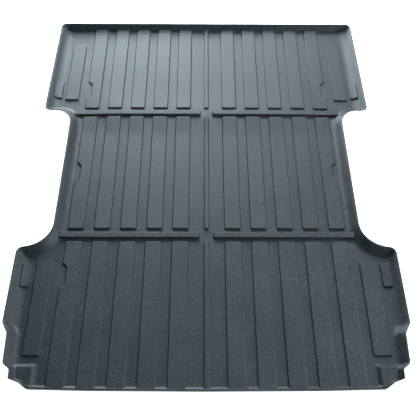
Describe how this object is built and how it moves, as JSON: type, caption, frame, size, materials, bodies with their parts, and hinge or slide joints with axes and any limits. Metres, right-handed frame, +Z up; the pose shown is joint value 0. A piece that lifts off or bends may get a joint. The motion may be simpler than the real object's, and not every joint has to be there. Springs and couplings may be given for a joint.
{
  "type": "truck bed liner",
  "caption": "Moulded mat for a pickup truck's load bed: low leaning walls, raised lands, cross bars and cut-outs for the wheel housings.",
  "frame": {"origin": "on the underside, at the middle of the liner's length and width", "axes": "+Y forward, from the tailgate edge to the cab end; +X to the right seen from behind; +Z up"},
  "size_m": [1.486, 1.924, 0.038],
  "materials": {
    "tpe_sheet": "fine matte grain, charcoal grey",
    "tpe_land": "fine matte grain, charcoal grey"
  },
  "bodies": {
    "root": {"floor_rear": "tpe_sheet", "floor_middle": "tpe_sheet", "floor_front": "tpe_sheet", "front_wall": "tpe_sheet", "side_wall_rear_left": "tpe_sheet", "side_wall_rear_right": "tpe_sheet", "arch_wall_left": "tpe_sheet", "arch_wall_right": "tpe_sheet", "side_wall_front_left": "tpe_sheet", "side_wall_front_right": "tpe_sheet", "rear_sill": "tpe_sheet", "corner_step_left": "tpe_sheet", "corner_step_right": "tpe_sheet", "cross_bar_rear_left": "tpe_sheet", "cross_bar_rear_right": "tpe_sheet", "cross_bar_front_left": "tpe_sheet", "cross_bar_front_right": "tpe_sheet", "land_rear_left_1": "tpe_land", "land_rear_left_2": "tpe_land", "land_rear_left_3": "tpe_land", "land_rear_left_4": "tpe_land", "land_rear_left_5": "tpe_land", "land_rear_right_1": "tpe_land", "land_rear_right_2": "tpe_land", "land_rear_right_3": "tpe_land", "land_rear_right_4": "tpe_land", "land_rear_right_5": "tpe_land", "land_middle_left_1": "tpe_land", "land_middle_left_2": "tpe_land", "land_middle_left_3": "tpe_land", "land_middle_left_4": "tpe_land", "land_middle_left_5": "tpe_land", "land_middle_right_1": "tpe_land", "land_middle_right_2": "tpe_land", "land_middle_right_3": "tpe_land", "land_middle_right_4": "tpe_land", "land_middle_right_5": "tpe_land", "land_front_left_1": "tpe_land", "land_front_left_2": "tpe_land", "land_front_left_3": "tpe_land", "land_front_left_4": "tpe_land", "land_front_left_5": "tpe_land", "land_front_right_1": "tpe_land", "land_front_right_2": "tpe_land", "land_front_right_3": "tpe_land", "land_front_right_4": "tpe_land", "land_front_right_5": "tpe_land", "rib_rear_centre": "tpe_land", "rib_middle_centre": "tpe_land", "rib_front_centre": "tpe_land", "side_land_rear_left": "tpe_land", "side_land_rear_right": "tpe_land", "side_land_front_left": "tpe_land", "side_land_front_right": "tpe_land", "wall_pad_rear_left": "tpe_land", "wall_pad_rear_right": "tpe_land", "wall_pad_front_left": "tpe_land", "wall_pad_front_right": "tpe_land"}
  },
  "joints": []
}
